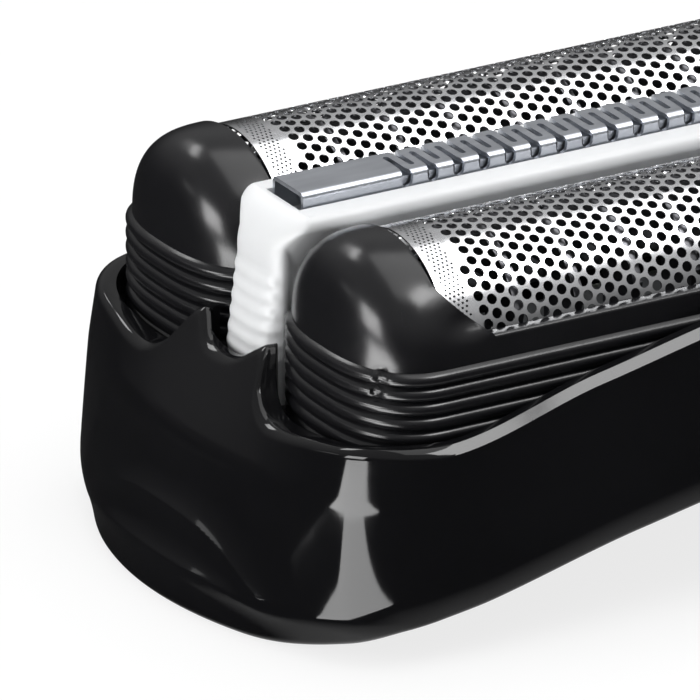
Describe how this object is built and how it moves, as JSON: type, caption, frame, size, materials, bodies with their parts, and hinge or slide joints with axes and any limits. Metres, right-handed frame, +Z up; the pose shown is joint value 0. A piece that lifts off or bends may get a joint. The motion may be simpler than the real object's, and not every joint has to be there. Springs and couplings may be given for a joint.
{
  "type": "shaver foil head",
  "caption": "Cassette head of an electric shaver: gloss frame with arched perforated foils on sprung units, a sprung long-hair trimmer between them, and cutters worked by a drive slide.",
  "frame": {"origin": "bottom centre of the bounding box, between the two end feet", "axes": "+X along the foils, +Y from the front foil to the rear foil, +Z up towards the skin"},
  "size_m": [0.0552, 0.03, 0.0191],
  "materials": {
    "frame_gloss": "high gloss black",
    "unit_black": "satin to semi gloss black",
    "foil_steel": "bright etched sheet",
    "trimmer_steel": "satin",
    "carrier_white": "satin white",
    "blade_steel": "ground",
    "holder_grey": "matt",
    "chassis_black": "matt",
    "drive_white": "slippery matt",
    "spring_steel": "spring strip"
  },
  "bodies": {
    "housing": {"outer_frame": "frame_gloss", "chassis": "chassis_black", "front_float_spring_left": "spring_steel", "front_float_spring_right": "spring_steel", "rear_float_spring_left": "spring_steel", "rear_float_spring_right": "spring_steel", "trimmer_spring_left": "spring_steel", "trimmer_spring_right": "spring_steel"},
    "front_foil_unit": {"front_foil_frame": "unit_black", "front_foil": "foil_steel"},
    "rear_foil_unit": {"rear_foil_frame": "unit_black", "rear_foil": "foil_steel"},
    "trimmer_unit": {"trimmer_carrier": "carrier_white", "trimmer_guard": "trimmer_steel"},
    "drive": {"drive_slide": "drive_white", "front_cutter_spring": "spring_steel", "rear_cutter_spring": "spring_steel"},
    "front_cutter": {"front_cutter_blades": "blade_steel", "front_cutter_holder": "holder_grey"},
    "rear_cutter": {"rear_cutter_blades": "blade_steel", "rear_cutter_holder": "holder_grey"},
    "trimmer_cutter": {"trimmer_blade": "trimmer_steel", "trimmer_slide": "drive_white"}
  },
  "joints": [
    {"name": "front_float", "type": "slide", "parent": "housing", "child": "front_foil_unit", "axis": [0, 0, -1], "range_m": [0, 0.0015], "stiffness_N_per_m": 300, "springref_m": -0.001, "deforming": ["front_float_spring_left", "front_float_spring_right", "front_cutter_spring"]},
    {"name": "rear_float", "type": "slide", "parent": "housing", "child": "rear_foil_unit", "axis": [0, 0, -1], "range_m": [0, 0.0015], "stiffness_N_per_m": 300, "springref_m": -0.001, "deforming": ["rear_float_spring_left", "rear_float_spring_right", "rear_cutter_spring"]},
    {"name": "trimmer_float", "type": "slide", "parent": "housing", "child": "trimmer_unit", "axis": [0, 0, -1], "range_m": [0, 0.0006], "stiffness_N_per_m": 300, "springref_m": -0.001, "deforming": ["trimmer_spring_left", "trimmer_spring_right"]},
    {"name": "drive_stroke", "type": "slide", "parent": "housing", "child": "drive", "axis": [1, 0, 0], "range_m": [-0.001, 0.001]},
    {"name": "front_cut", "type": "slide", "parent": "front_foil_unit", "child": "front_cutter", "axis": [1, 0, 0], "range_m": [-0.001, 0.001]},
    {"name": "rear_cut", "type": "slide", "parent": "rear_foil_unit", "child": "rear_cutter", "axis": [1, 0, 0], "range_m": [-0.001, 0.001]},
    {"name": "trimmer_cut", "type": "slide", "parent": "trimmer_unit", "child": "trimmer_cutter", "axis": [1, 0, 0], "range_m": [-0.001, 0.001]}
  ],
  "couplings": [
    {"joint": "front_cut", "follows": "drive_stroke", "ratio": 1},
    {"joint": "rear_cut", "follows": "drive_stroke", "ratio": 1},
    {"joint": "trimmer_cut", "follows": "drive_stroke", "ratio": 1}
  ]
}
